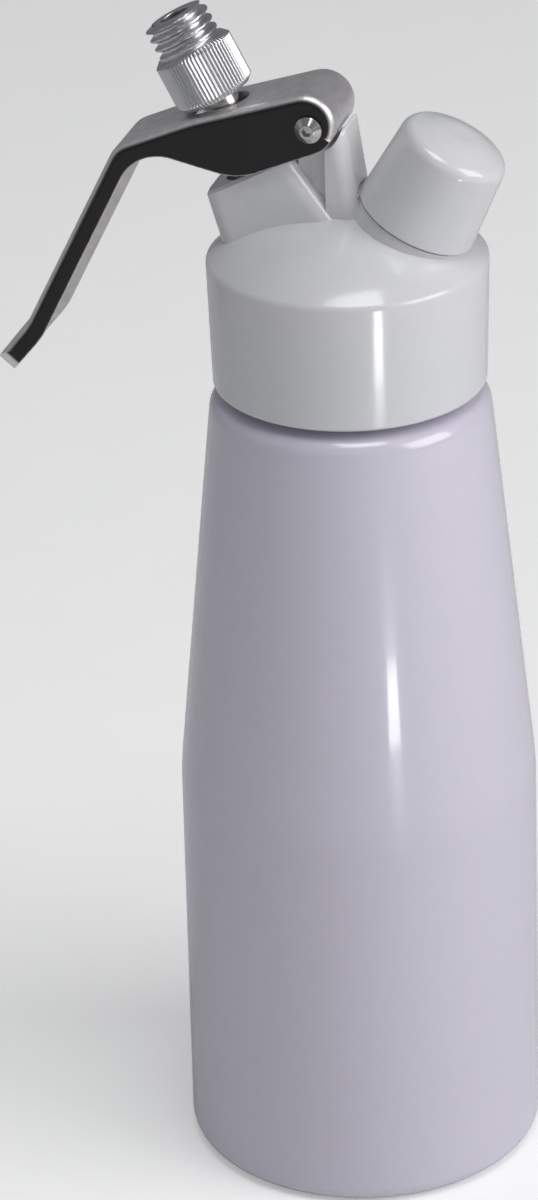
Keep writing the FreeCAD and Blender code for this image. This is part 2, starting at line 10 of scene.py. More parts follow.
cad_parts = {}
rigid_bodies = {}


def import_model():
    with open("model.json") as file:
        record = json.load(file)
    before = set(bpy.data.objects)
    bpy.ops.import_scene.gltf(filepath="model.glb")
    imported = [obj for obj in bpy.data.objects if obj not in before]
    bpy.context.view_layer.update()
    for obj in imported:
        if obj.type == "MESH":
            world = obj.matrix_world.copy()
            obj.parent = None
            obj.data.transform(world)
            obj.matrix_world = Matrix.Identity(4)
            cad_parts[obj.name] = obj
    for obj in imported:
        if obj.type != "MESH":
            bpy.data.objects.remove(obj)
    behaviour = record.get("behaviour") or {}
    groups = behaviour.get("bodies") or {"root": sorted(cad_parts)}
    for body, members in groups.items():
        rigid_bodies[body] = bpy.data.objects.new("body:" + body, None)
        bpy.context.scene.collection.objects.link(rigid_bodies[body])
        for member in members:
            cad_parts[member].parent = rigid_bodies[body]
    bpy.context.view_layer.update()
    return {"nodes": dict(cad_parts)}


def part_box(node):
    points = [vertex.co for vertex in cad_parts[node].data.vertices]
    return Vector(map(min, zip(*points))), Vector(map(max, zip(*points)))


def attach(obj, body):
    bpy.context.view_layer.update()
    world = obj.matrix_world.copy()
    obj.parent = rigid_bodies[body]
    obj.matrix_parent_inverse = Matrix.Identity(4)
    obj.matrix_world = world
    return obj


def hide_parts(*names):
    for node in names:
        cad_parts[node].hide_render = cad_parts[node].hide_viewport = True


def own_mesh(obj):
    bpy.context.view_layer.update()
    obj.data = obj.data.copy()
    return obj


bl_info = {
    "name": "Whipped cream dispenser",
    "version": (1, 0, 0),
    "blender": (4, 5, 0),
    "location": "3D View > Sidebar > Dispenser",
    "description": "Builds a whipped cream dispenser with its materials, stage and camera",
    "category": "Object",
}

for leftover in list(bpy.data.objects):
    bpy.data.objects.remove(leftover)
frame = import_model()

# Outlines are written in millimetres and put into the meshes in metres
MM = 1000.0
MERGE_DISTANCE = 2e-7
SHARP_ANGLE = math.radians(34)

# Both ports lean away from the bottle's axis and meet on it; WAY turns the upright axis onto a port's own
PORT_TILT = math.radians(27.3)
PORT_ORIGIN = Vector((0.0, 0.0, 0.1935))
WAY = {"outlet": -PORT_TILT, "charger": PORT_TILT}


# Surfaces

def surface(name, points, wrap_rows=False):
    """Mesh object over a grid: row by row outline points, each row a closed ring of columns."""
    rows, columns = points.shape[:2]
    i = np.arange(rows if wrap_rows else rows - 1)[:, None]
    j = np.arange(columns)[None, :]
    below = (i + 1) % rows
    right = (j + 1) % columns
    corners = [i * columns + j, i * columns + right, below * columns + right, below * columns + j]
    faces = np.stack(corners, -1).reshape(-1, 4)
    mesh = bpy.data.meshes.new(name)
    mesh.from_pydata(points.reshape(-1, 3).tolist(), [], faces.tolist())
    work = bmesh.new()
    work.from_mesh(mesh)
    bmesh.ops.remove_doubles(work, verts=work.verts, dist=MERGE_DISTANCE)
    bmesh.ops.recalc_face_normals(work, faces=work.faces)
    work.to_mesh(mesh)
    work.free()
    mesh.shade_smooth()
    mesh.set_sharp_from_angle(angle=SHARP_ANGLE)
    piece = bpy.data.objects.new(name, mesh)
    bpy.context.scene.collection.objects.link(piece)
    return piece


def outline(corners, closed=False, arc_steps=7):
    """Outline through (radius, height, rounding) corners in mm; each rounding becomes an arc.

    The arc's centre lies on the line that halves the corner, rounding over sine of half the corner's angle
    from it, and the arc runs between the two points where it touches the sides.
    """
    count = len(corners)
    line = []
    for k, (r, z, rounding) in enumerate(corners):
        here = np.array([r, z], float)
        if rounding == 0 or (not closed and k in (0, count - 1)):
            line.append(here)
            continue
        before = np.array(corners[k - 1][:2], float) - here
        after = np.array(corners[(k + 1) % count][:2], float) - here
        before /= np.linalg.norm(before)
        after /= np.linalg.norm(after)
        half = math.acos(np.clip(before @ after, -1, 1)) / 2
        middle = before + after
        centre = here + middle / np.linalg.norm(middle) * rounding / math.sin(half)
        start = here + before * rounding / math.tan(half) - centre
        end = here + after * rounding / math.tan(half) - centre
        sweep = math.atan2(start[0] * end[1] - start[1] * end[0], start @ end)
        for turn in np.linspace(0, sweep, arc_steps + 1):
            c, s = math.cos(turn), math.sin(turn)
            line.append(centre + np.array([c * start[0] - s * start[1], s * start[0] + c * start[1]]))
    return np.array(line)


def refined(line, longest, span=None, closed=False):
    """The outline with each segment divided until none is longer than longest.

    With a span, only the segments that reach into that span of heights are divided.
    """
    nexts = np.roll(line, -1, 0) if closed else line[1:]
    out = []
    for a, b in zip(line, nexts):
        length = np.linalg.norm(b - a)
        inside = span is None or (max(a[1], b[1]) > span[0] and min(a[1], b[1]) < span[1])
        parts = max(1, math.ceil(length / longest)) if inside else 1
        out += [a + (b - a) * k / parts for k in range(parts)]
    if not closed:
        out.append(line[-1])
    return np.array(out)


def thread_cut(height, angle, foot, top, pitch, depth):
    """Depth of a right-handed thread's groove.

    A raised cosine of height over pitch less the turn, stretched and clipped so that crests and roots are
    flat, and faded in and out at both ends of the thread.
    """
    stretch, shift, fade_pitches = 1.25, 0.1, 0.6
    phase = (height / pitch - angle / (2 * math.pi)) % 1.0
    wave = 0.5 - 0.5 * np.cos(2 * math.pi * phase)
    wave = np.clip(stretch * wave - shift, 0, 1)
    fade_in = np.clip((height - foot) / (fade_pitches * pitch), 0, 1)
    fade_out = np.clip((top - height) / (fade_pitches * pitch), 0, 1)
    return depth * wave * (fade_in * fade_out)


def spun(line, columns, relief=None):
    """Surface of revolution in mm: radius * cos and sin of the angle, and the outline's height.

    The depth that relief(radius, height, angle) gives is taken off the radius first.
    """
    angle = np.linspace(0, 2 * math.pi, columns, endpoint=False)[None, :]
    r = line[:, 0:1] * np.ones_like(angle)
    z = line[:, 1:2] * np.ones_like(angle)
    if relief is not None:
        r = r - relief(r, z, angle)
    return np.stack([r * np.cos(angle), r * np.sin(angle), z], -1)


def placed(points_mm, port=None):
    """Points in metres, moved from a port's own axis into the object's frame."""
    points = points_mm / MM
    if port is None:
        return points
    turn = np.array(Matrix.Rotation(WAY[port], 3, "Y"))
    return points @ turn.T + np.array(PORT_ORIGIN)


def tube(path, wire, sides, across):
    """Tube of radius wire: path + wire * (cos * first + sin * second), its ends closed to a point.

    First is the part of across that stands square on the path, and second stands square on both.
    """
    along = np.gradient(path, axis=0)
    along /= np.linalg.norm(along, axis=1, keepdims=True)
    first = across - (across * along).sum(1, keepdims=True) * along
    first /= np.linalg.norm(first, axis=1, keepdims=True)
    second = np.cross(along, first)
    turn = np.linspace(0, 2 * math.pi, sides, endpoint=False)[None, :, None]
    ring = np.cos(turn) * first[:, None] + np.sin(turn) * second[:, None]
    body = path[:, None] + wire * ring
    ends = [np.repeat(path[k][None, None], sides, 1) for k in (0, -1)]
    return np.concatenate([ends[0], body, ends[1]], 0)


# Nodes that the materials are put together from

def feed(tree, socket, value):
    """Link another node's output into a socket, or set it to a plain value."""
    if isinstance(value, bpy.types.NodeSocket):
        tree.links.new(value, socket)
    else:
        socket.default_value = value


def maths(tree, operation, *values):
    """Output of a Math node."""
    node = tree.nodes.new("ShaderNodeMath")
    node.operation = operation
    for socket, value in zip(node.inputs, values):
        feed(tree, socket, value)
    return node.outputs[0]


def mixed(tree, blend, factor, first, second):
    """Colour output of a Mix node."""
    node = tree.nodes.new("ShaderNodeMix")
    node.data_type = "RGBA"
    node.blend_type = blend
    for label, value in (("Factor", factor), ("A", first), ("B", second)):
        feed(tree, node.inputs[label], value)
    return node.outputs["Result"]


def noise(tree, scale, detail, vector=None):
    """Noise over object coordinates, or over the given vector."""
    node = tree.nodes.new("ShaderNodeTexNoise")
    node.inputs["Scale"].default_value = scale
    node.inputs["Detail"].default_value = detail
    if vector is None:
        vector = tree.nodes.new("ShaderNodeTexCoord").outputs["Object"]
    tree.links.new(vector, node.inputs["Vector"])
    return node.outputs["Fac"]


def mapped(tree, value, low, high, to_low, to_high):
    """Map a value from one span to another, held at its ends."""
    node = tree.nodes.new("ShaderNodeMapRange")
    node.inputs["From Min"].default_value = low
    node.inputs["From Max"].default_value = high
    for label, given in (("Value", value), ("To Min", to_low), ("To Max", to_high)):
        feed(tree, node.inputs[label], given)
    return node.outputs["Result"]


def raised(tree, height, strength, distance):
    """Feed a height into the normal of the material's shader."""
    bump = tree.nodes.new("ShaderNodeBump")
    bump.inputs["Strength"].default_value = strength
    bump.inputs["Distance"].default_value = distance
    tree.links.new(height, bump.inputs["Height"])
    tree.links.new(bump.outputs["Normal"], tree.nodes["Principled BSDF"].inputs["Normal"])


# Effects that several materials share

def new_group(name, inputs, outputs):
    """Empty shader group with float sockets; inputs give (name, default)."""
    group = bpy.data.node_groups.new(name, "ShaderNodeTree")
    for label, default in inputs:
        socket = group.interface.new_socket(label, in_out="INPUT", socket_type="NodeSocketFloat")
        socket.default_value = default
    for label in outputs:
        group.interface.new_socket(label, in_out="OUTPUT", socket_type="NodeSocketFloat")
    return group, group.nodes.new("NodeGroupInput").outputs, group.nodes.new("NodeGroupOutput").inputs


def handled_group():
    """Shared effect: slow patches of handling that change roughness and shade a little."""
    group, given, result = new_group(
        "Handled surface", [("Roughness", 0.2), ("Spread", 0.05)], ["Roughness", "Shade"])
    patches = noise(group, scale=38.0, detail=4.0)
    fine = noise(group, scale=420.0, detail=2.0)
    smoother = maths(group, "SUBTRACT", given["Roughness"], given["Spread"])
    rougher = maths(group, "ADD", given["Roughness"], given["Spread"])
    rough = mapped(group, patches, low=0.35, high=0.65, to_low=smoother, to_high=rougher)
    shade = mapped(group, fine, low=0.3, high=0.7, to_low=0.985, to_high=1.0)
    group.links.new(rough, result["Roughness"])
    group.links.new(shade, result["Shade"])
    return group


def grain_group():
    """Shared effect: fine grain as a height, with its own scale across and along the piece."""
    group, given, result = new_group(
        "Fine grain", [("Across", 900.0), ("Along", 30.0)], ["Height", "Streak"])
    scale = group.nodes.new("ShaderNodeCombineXYZ")
    for label, source in (("X", "Across"), ("Y", "Along"), ("Z", "Across")):
        group.links.new(given[source], scale.inputs[label])
    mapping = group.nodes.new("ShaderNodeMapping")
    mapping.inputs["Rotation"].default_value = (0, PORT_TILT, 0)
    group.links.new(scale.outputs["Vector"], mapping.inputs["Scale"])
    place = group.nodes.new("ShaderNodeTexCoord")
    group.links.new(place.outputs["Object"], mapping.inputs["Vector"])
    lines = noise(group, scale=1.0, detail=3.0, vector=mapping.outputs["Vector"])
    group.links.new(lines, result["Height"])
    group.links.new(mapped(group, lines, low=0.3, high=0.7, to_low=0.9, to_high=1.06), result["Streak"])
    return group


def edge_highlight_group():
    """Shared effect: a mask of the piece's outer edges for a painted highlight, from the bent normal of a
    small bevel, broken up by noise.
    """
    group, given, result = new_group("Painted edge highlights", [("Width", 0.0006)], ["Mask"])
    bevel = group.nodes.new("ShaderNodeBevel")
    bevel.samples = 6
    group.links.new(given["Width"], bevel.inputs["Radius"])
    shape = group.nodes.new("ShaderNodeNewGeometry")
    dot = group.nodes.new("ShaderNodeVectorMath")
    dot.operation = "DOT_PRODUCT"
    group.links.new(bevel.outputs["Normal"], dot.inputs[0])
    group.links.new(shape.outputs["Normal"], dot.inputs[1])
    edge_highlight = mapped(group, dot.outputs["Value"], low=0.99, high=0.86, to_low=0.0, to_high=1.0)
    highlight_breakup = noise(group, scale=700.0, detail=2.0)
    broken = mapped(group, highlight_breakup, low=0.3, high=0.55, to_low=0.4, to_high=1.0)
    group.links.new(maths(group, "MULTIPLY", edge_highlight, broken), result["Mask"])
    return group


EFFECTS = {}


def effect(tree, kind, **values):
    """Node of a shared effect in a material, with the material's own values for its inputs."""
    if kind not in EFFECTS:
        EFFECTS[kind] = {"handled": handled_group, "grain": grain_group, "edges": edge_highlight_group}[kind]()
    node = tree.nodes.new("ShaderNodeGroup")
    node.node_tree = EFFECTS[kind]
    for label, value in values.items():
        node.inputs[label].default_value = value
    return node.outputs


# Materials

GRAIN_DISTANCE = 0.00003
PEEL_DISTANCE = 0.0002


def flange_shade_mask(tree):
    """One on the outer faces of the lever's flanges, where the painted shade goes: they look sideways and
    lie at its full width.
    """
    half_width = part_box("lever")[1].y
    coordinates = tree.nodes.new("ShaderNodeTexCoord")
    sizes = []
    for source in ("Normal", "Object"):
        split = tree.nodes.new("ShaderNodeSeparateXYZ")
        tree.links.new(coordinates.outputs[source], split.inputs["Vector"])
        sizes.append(maths(tree, "ABSOLUTE", split.outputs["Y"]))
    sideways, reach = sizes
    outer = mapped(
        tree, reach, low=half_width - 0.0006, high=half_width - 0.0003, to_low=0.0, to_high=1.0)
    return mapped(tree, sideways, low=0.75, high=0.95, to_low=0.0, to_high=outer)


def material(name, colour, rough, spread=0.04, metallic=0.0, coat=0.0, peel=None, grain=None, edge_highlight=None,
             flange_shade=None, **more):
    """Procedural material: a colour varied by handling, and what else is given.

    Peel is the scale and strength of orange peel, grain its two scales and strength, edge_highlight the
    width and colour of a painted highlight along the outer edges, flange_shade the colour of painted shade
    on the lever's outer faces, and more the shader's own inputs.
    """
    made = bpy.data.materials.new(name)
    made.use_nodes = True
    tree = made.node_tree
    shader = tree.nodes["Principled BSDF"]
    shader.inputs["Metallic"].default_value = metallic
    shader.inputs["Coat Weight"].default_value = coat
    for label, value in more.items():
        shader.inputs[label.replace("_", " ")].default_value = value
    handled = effect(tree, "handled", Roughness=rough, Spread=spread)
    tree.links.new(handled["Roughness"], shader.inputs["Roughness"])
    shown = mixed(tree, "MULTIPLY", 1.0, (*colour, 1.0), handled["Shade"])
    if grain is not None:
        across, along, strength = grain
        lines = effect(tree, "grain", Across=across, Along=along)
        shown = mixed(tree, "MULTIPLY", 1.0, shown, lines["Streak"])
        raised(tree, lines["Height"], strength, GRAIN_DISTANCE)
    if peel is not None:
        scale, strength = peel
        raised(tree, noise(tree, scale, detail=2.0), strength, PEEL_DISTANCE)
    # Painted shade: the lever's sideways outer faces are drawn in a dark colour
    if flange_shade is not None:
        shown = mixed(tree, "MIX", flange_shade_mask(tree), shown, (*flange_shade, 1.0))
    # Painted highlight: a bright colour mixed in along the outer edges, broken up by noise
    if edge_highlight is not None:
        width, highlight_colour = edge_highlight
        mask = effect(tree, "edges", Width=width)["Mask"]
        shown = mixed(tree, "MIX", mask, shown, (*highlight_colour, 1.0))
    tree.links.new(shown, shader.inputs["Base Color"])
    return made


MATERIALS = {}


def finish_of(slot):
    """The material of a slot of the record, made once."""
    if slot not in MATERIALS:
        look = bpy.context.scene.dispenser_look
        MATERIALS[slot] = {
            "body_enamel": lambda: material(
                "Gloss enamel", look.enamel[:3], look.enamel_roughness, 0.03, coat=0.6, peel=(240.0, 0.035),
                Coat_Roughness=0.06),
            "head_plastic": lambda: material(
                "White moulding", look.plastic[:3], 0.17, 0.03, coat=0.35, peel=(160.0, 0.03),
                Coat_Roughness=0.08, Subsurface_Weight=0.05),
            "seal_rubber": lambda: material(
                "Silicone rubber", (0.62, 0.62, 0.60), 0.62, 0.08, peel=(900.0, 0.15)),
            # Painted highlight along the collar's edges
            "plain_aluminium": lambda: material(
                "Turned aluminium", look.aluminium[:3], 0.33, 0.05, metallic=1.0,
                edge_highlight=(0.0003, (0.85, 0.85, 0.86))),
            "guide_plastic": lambda: material(
                "Guide plastic", (0.78, 0.78, 0.75), 0.42, 0.06, peel=(500.0, 0.05)),
            "stainless": lambda: material(
                "Turned stainless steel", (0.60, 0.59, 0.58), 0.2, 0.06, metallic=1.0,
                grain=(900.0, 900.0, 0.1)),
            "spring_steel": lambda: material(
                "Spring wire", (0.56, 0.55, 0.54), 0.24, 0.06, metallic=1.0, grain=(1500.0, 300.0, 0.15)),
            # Painted highlight along the lever's edges and painted shade on its flanges
            "lever_steel": lambda: material(
                "Polished sheet steel", look.lever[:3], 0.45, 0.05, metallic=1.0,
                grain=(420.0, 420.0, 0.10), edge_highlight=(0.0005, (0.80, 0.79, 0.79)), flange_shade=look.flange_shade[:3]),
            # Painted highlight along the port's edges
            "port_brass": lambda: material(
                "Nickel plated brass", (0.74, 0.71, 0.66), 0.2, 0.05, metallic=1.0,
                edge_highlight=(0.0003, (0.93, 0.9, 0.84))),
        }[slot]()
    return MATERIALS[slot]


def dressed(piece, slot, body=None, *nodes):
    """Give a piece its finish and, for a new one, its body and the nodes that it stands for."""
    piece.data.materials.clear()
    piece.data.materials.append(finish_of(slot))
    if body is not None:
        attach(piece, body)
        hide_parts(*nodes)


# Sizes and colours that a user would change

class DispenserLook(bpy.types.PropertyGroup):
    """Colours of the finishes and of the painted shade on the lever's flanges, and the enamel's roughness.
    """
    enamel: bpy.props.FloatVectorProperty(
        name="Enamel", description="Colour of the bottle's enamel", default=(0.682, 0.651, 0.766, 1.0),
        subtype="COLOR", size=4, min=0, max=1)
    enamel_roughness: bpy.props.FloatProperty(
        name="Enamel roughness", description="Roughness of the enamel", default=0.2, min=0, max=1,
        subtype="FACTOR")
    plastic: bpy.props.FloatVectorProperty(
        name="Moulding", description="Colour of the head and the port cap",
        default=(0.75, 0.74, 0.765, 1.0), subtype="COLOR", size=4, min=0, max=1)
    aluminium: bpy.props.FloatVectorProperty(
        name="Aluminium", description="Colour of the nozzle collar and the head's thread ring",
        default=(0.60, 0.60, 0.62, 1.0), subtype="COLOR", size=4, min=0, max=1)
    # Painted shade: the flanges are the lever's own steel, drawn near black
    flange_shade: bpy.props.FloatVectorProperty(
        name="Flanges", description="Colour of the lever's dark polished sides",
        default=(0.05, 0.05, 0.052, 1.0), subtype="COLOR", size=4, min=0, max=1)
    lever: bpy.props.FloatVectorProperty(
        name="Lever", description="Colour of the lever's steel", default=(0.90, 0.87, 0.88, 1.0),
        subtype="COLOR", size=4, min=0, max=1)


class DispenserSizes(bpy.types.PropertyGroup):
    """Sizes of the threads, the knurl and the spring."""
    neck_pitch: bpy.props.FloatProperty(
        name="Neck pitch", description="Pitch of the bottle's neck thread", default=0.004,
        unit="LENGTH", precision=4)
    neck_depth: bpy.props.FloatProperty(
        name="Neck depth", description="Depth of the neck thread", default=0.0009,
        unit="LENGTH", precision=5)
    stud_pitch: bpy.props.FloatProperty(
        name="Stud pitch", description="Pitch of the nozzle stud's thread", default=0.0021,
        unit="LENGTH", precision=4)
    stud_depth: bpy.props.FloatProperty(
        name="Stud depth", description="Depth of the stud's thread", default=0.00115,
        unit="LENGTH", precision=5)
    knurl_teeth: bpy.props.IntProperty(
        name="Knurl teeth", description="Ridges round the nozzle collar", default=64, min=12, max=120)
    knurl_depth: bpy.props.FloatProperty(
        name="Knurl depth", description="Depth of the collar's ridges", default=0.00028,
        unit="LENGTH", precision=5)
    port_pitch: bpy.props.FloatProperty(
        name="Port pitch", description="Pitch of the charger port's thread", default=0.00225,
        unit="LENGTH", precision=5)
    port_depth: bpy.props.FloatProperty(
        name="Port depth", description="Depth of the port's thread", default=0.0009,
        unit="LENGTH", precision=5)
    spring_turns: bpy.props.IntProperty(
        name="Spring turns", description="Turns of the valve spring", default=7, min=3, max=14)


# Operators, one for each piece or group of like pieces

class DISPENSER_OT_bottle(bpy.types.Operator):
    """Bottle: an enamelled shell with a threaded neck, one surface of revolution"""
    bl_idname = "dispenser.bottle"
    bl_label = "Bottle"

    def execute(self, context):
        sizes = context.scene.dispenser_sizes
        pitch = sizes.neck_pitch * MM
        depth = sizes.neck_depth * MM
        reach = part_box("bottle")[1]
        base_r, mouth = reach.x * MM, reach.z * MM
        foot_round = 4.0
        # Standing disc and rim with a shallow groove between them
        disc_r, rim_r, groove_z = 24.0, 32.0, 1.2
        groove_edge_round, groove_round = 0.4, 0.6
        # Outer wall up to the neck
        kink_r, kink_z, kink_round = 39.5, 92.4, 70.0
        shoulder_r, shoulder_z, shoulder_round = 30.1, 182.6, 4.6
        neck_r, neck_z, neck_round = 25.2, 183.4, 0.6
        lip_round = 0.8
        # Inner wall down to the floor
        wall, base_in, floor_z = 1.6, 38.4, 3.0
        neck_in, neck_in_z, neck_in_round = 22.6, 176.6, 3.0
        shoulder_in, shoulder_in_z, shoulder_in_round = 29.991, 168.0, 6.0
        corners = [
            (0, 0, 0),
            (disc_r, 0, groove_edge_round),
            (disc_r + groove_z, groove_z, groove_round),
            (rim_r - groove_z, groove_z, groove_round),
            (rim_r, 0, groove_edge_round),
            (base_r, 0, foot_round),
            (kink_r, kink_z, kink_round),
            (shoulder_r, shoulder_z, shoulder_round),
            (neck_r, neck_z, neck_round),
            (neck_r, mouth, lip_round),
            (neck_in, mouth, lip_round),
            (neck_in, neck_in_z, neck_in_round),
            (shoulder_in, shoulder_in_z, shoulder_in_round),
            (kink_r - wall, kink_z, kink_round - wall),
            (base_in, floor_z, foot_round),
            (0, floor_z, 0),
        ]
        thread_foot, thread_top = 185.6, mouth - 1.0
        thread_row, plain_row, columns = 0.25, 4.0, 256
        line = outline(corners, arc_steps=10)
        line = refined(line, thread_row, span=(thread_foot, thread_top))
        line = refined(line, plain_row)
        outer_wall_r = neck_r - 0.3

        def relief(r, z, angle):
            """The neck's thread, on its outer wall only."""
            outer = (r > outer_wall_r) & (z > thread_foot) & (z < thread_top)
            return np.where(outer, thread_cut(z, angle, thread_foot, thread_top, pitch, depth), 0.0)

        shell = surface("bottle_shell", placed(spun(line, columns, relief)))
        dressed(shell, "body_enamel", "bottle", "bottle")
        return {"FINISHED"}


class DISPENSER_OT_nozzle(bpy.types.Operator):
    """Nozzle collar: straight knurl between chamfers and a threaded stud, one closed surface"""
    bl_idname = "dispenser.nozzle"
    bl_label = "Nozzle collar"

    def execute(self, context):
        sizes = context.scene.dispenser_sizes
        teeth = sizes.knurl_teeth
        knurl = sizes.knurl_depth * MM
        pitch = sizes.stud_pitch * MM
        depth = sizes.stud_depth * MM
        foot, top, end = 60.3, 72.1, 79.7
        collar_r, collar_chamfer = 8.7, 1.1
        stud_r, stud_chamfer = 7.0, 0.8
        bore_r, bore_floor, outlet_r = 4.3, 71.0, 3.2
        edge_round, outlet_round = 0.15, 0.3
        corners = [
            (bore_r, foot, 0),
            (collar_r - collar_chamfer, foot, 0),
            (collar_r, foot + collar_chamfer, 0),
            (collar_r, top - collar_chamfer, 0),
            (collar_r - collar_chamfer, top, edge_round),
            (stud_r, top, edge_round),
            (stud_r, end - stud_chamfer, edge_round),
            (stud_r - stud_chamfer, end, edge_round),
            (outlet_r, end, outlet_round),
            (outlet_r, bore_floor, 0),
            (bore_r, bore_floor, 0),
        ]
        nudge = 0.05
        thread_row, plain_row, columns = 0.14, 0.5, teeth * 7
        line = outline(corners, closed=True, arc_steps=4)
        line = refined(line, thread_row, span=(top + nudge, end - nudge), closed=True)
        line = refined(line, plain_row, closed=True)
        ridge_floor_r, groove_floor_r, ridge_sharpness = 7.3, 5.6, 0.8
        # The groove starts at the collar and runs out past the stud's end
        thread_foot, thread_top = top + 0.1, end + 1.2

        def relief(r, z, angle):
            """Ridges round the collar that fade over its chamfers, and the stud's thread."""
            tooth = 0.5 - 0.5 * np.cos(teeth * angle)
            rising = np.clip((z - foot) / collar_chamfer, 0, 1)
            falling = np.clip((top - z) / collar_chamfer, 0, 1)
            on_collar = (r > ridge_floor_r) & (z < top + nudge)
            ridges = np.where(on_collar, knurl * tooth ** ridge_sharpness * (rising * falling), 0.0)
            on_stud = (r > groove_floor_r) & (z > top + nudge)
            groove = np.where(on_stud, thread_cut(z, angle, thread_foot, thread_top, pitch, depth), 0.0)
            return ridges + groove

        collar = surface("nozzle_collar", placed(spun(line, columns, relief), "outlet"), wrap_rows=True)
        dressed(collar, "plain_aluminium", "adapter", "nozzle_adapter")
        return {"FINISHED"}


class DISPENSER_OT_port(bpy.types.Operator):
    """Charger port: threaded nipple with a recess for the charger's neck, one closed surface"""
    bl_idname = "dispenser.port"
    bl_label = "Charger port"

    def execute(self, context):
        sizes = context.scene.dispenser_sizes
        pitch = sizes.port_pitch * MM
        depth = sizes.port_depth * MM
        foot, seat, end = 25.2, 32.6, 44.5
        shank_r, thread_r = 7.5, 10.3
        bore_r, recess_r, recess_floor = 3.0, 6.2, 38.5
        seat_round, rim_round, recess_round = 0.2, 0.8, 0.5
        corners = [
            (bore_r, foot, 0),
            (shank_r, foot, 0),
            (shank_r, seat, 0),
            (thread_r, seat, seat_round),
            (thread_r, end, rim_round),
            (recess_r, end, recess_round),
            (recess_r, recess_floor, 0),
            (bore_r, recess_floor, 0),
        ]
        thread_row, plain_row, columns = 0.16, 0.8, 240
        line = outline(corners, closed=True, arc_steps=4)
        line = refined(line, thread_row, span=(seat + 0.4, end - 0.2), closed=True)
        line = refined(line, plain_row, closed=True)
        thread_foot, thread_top = seat + 0.8, end - 0.6
        groove_floor_r = 9.0

        def relief(r, z, angle):
            """The port's thread, on its outer wall only."""
            groove = thread_cut(z, angle, thread_foot, thread_top, pitch, depth)
            return np.where(r > groove_floor_r, groove, 0.0)

        nipple = surface("charger_nipple", placed(spun(line, columns, relief), "charger"), wrap_rows=True)
        dressed(nipple, "port_brass", "head", "charger_port")
        return {"FINISHED"}


class DISPENSER_OT_spring(bpy.types.Operator):
    """Valve spring: one tube along an even helix round the stem"""
    bl_idname = "dispenser.spring"
    bl_label = "Valve spring"

    def execute(self, context):
        turns = context.scene.dispenser_sizes.spring_turns
        foot, top, wire, mean_r = 34.2, 54.4, 0.65, 5.35
        steps_per_turn, wire_sides, stem_travel = 40, 16, 3.2
        share = np.linspace(0, 1, turns * steps_per_turn + 1)
        angle = share * turns * 2 * math.pi
        height = foot + wire + (top - foot - 2 * wire) * share
        path = np.stack([mean_r * np.cos(angle), mean_r * np.sin(angle), height], -1)
        across = np.stack([np.cos(angle), np.sin(angle), np.zeros_like(angle)], -1)
        coil = surface("valve_spring_coil", placed(tube(path, wire, wire_sides, across), "outlet"))
        dressed(coil, "spring_steel", "head", "valve_spring")
        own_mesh(coil)
        return {"FINISHED"}


CARRIED = {
    "head_shell": "head_plastic",
    "port_cap": "head_plastic",
    "head_gasket": "seal_rubber",
    "thread_insert": "plain_aluminium",
    "valve_guide": "guide_plastic",
    "stem_ring": "seal_rubber",
    "valve_stem": "stainless",
    "valve_seal": "seal_rubber",
    "adapter_seal": "seal_rubber",
    "lever": "lever_steel",
    "pivot_axle": "stainless",
    "pivot_screws": "stainless",
    "port_seal": "seal_rubber",
    "pin_gasket": "seal_rubber",
    "piercing_pin": "stainless",
    "check_valve_body": "guide_plastic",
    "check_valve_sleeve": "seal_rubber",
    "port_cap_liner": "seal_rubber",
}


class DISPENSER_OT_carried(bpy.types.Operator):
    """Carried-over solids: the head, lever, seals and small parts get their finishes"""
    bl_idname = "dispenser.carried"
    bl_label = "Head, lever and small parts"

    def execute(self, context):
        for node, slot in CARRIED.items():
            dressed(frame["nodes"][node], slot)
        return {"FINISHED"}


# Stage: lengths in metres, powers in watts, turns about the bottle's axis in degrees

# Name, turn, height, distance from the bottle's axis, size, power and colour
SOFT_LIGHTS = (
    ("Broad light", 82, 0.9, 1.5, (1.1, 1.0), 14.0, (1.0, 0.985, 0.995)),
    ("Left light", -70, 0.8, 1.7, (0.9, 0.9), 0.4, (0.97, 0.97, 1.0)),
    ("Top light", 30, 1.6, 0.5, (0.7, 0.7), 7.5, (0.98, 1.0, 0.96)),
)
LIGHT_TARGET = Vector((0, 0, 0.15))

# Name, near end, far end, width and power
STRIPS = (
    ("Body strip", 0.228, 0.395, 0.005, 0.0018),
    ("Kink strip", 0.208, 0.216, 0.008, 0.0012),
    ("Skirt strip", 0.41, 0.50, 0.055, 0.24),
)
STRIP_TURN = 38.2
STRIP_HEIGHT = 0.004
WHITE = (1.0, 1.0, 1.0)


def staged(name, data, place):
    """Object that belongs to the stage, put at its place."""
    holder = bpy.data.objects.new(name, data)
    bpy.context.scene.collection.objects.link(holder)
    holder.matrix_world = place
    return holder


def area_light(name, size, power, colour, place):
    """Rectangular light that shines against the Z axis of its place."""
    lamp = bpy.data.lights.new(name, "AREA")
    lamp.shape = "RECTANGLE"
    lamp.size, lamp.size_y = size
    lamp.energy = power
    lamp.color = colour
    staged(name, lamp, place)


def axes(x, y, z):
    """Turn that lays the three axes along the given unit ways."""
    return Matrix((x, y, z)).transposed().to_4x4()


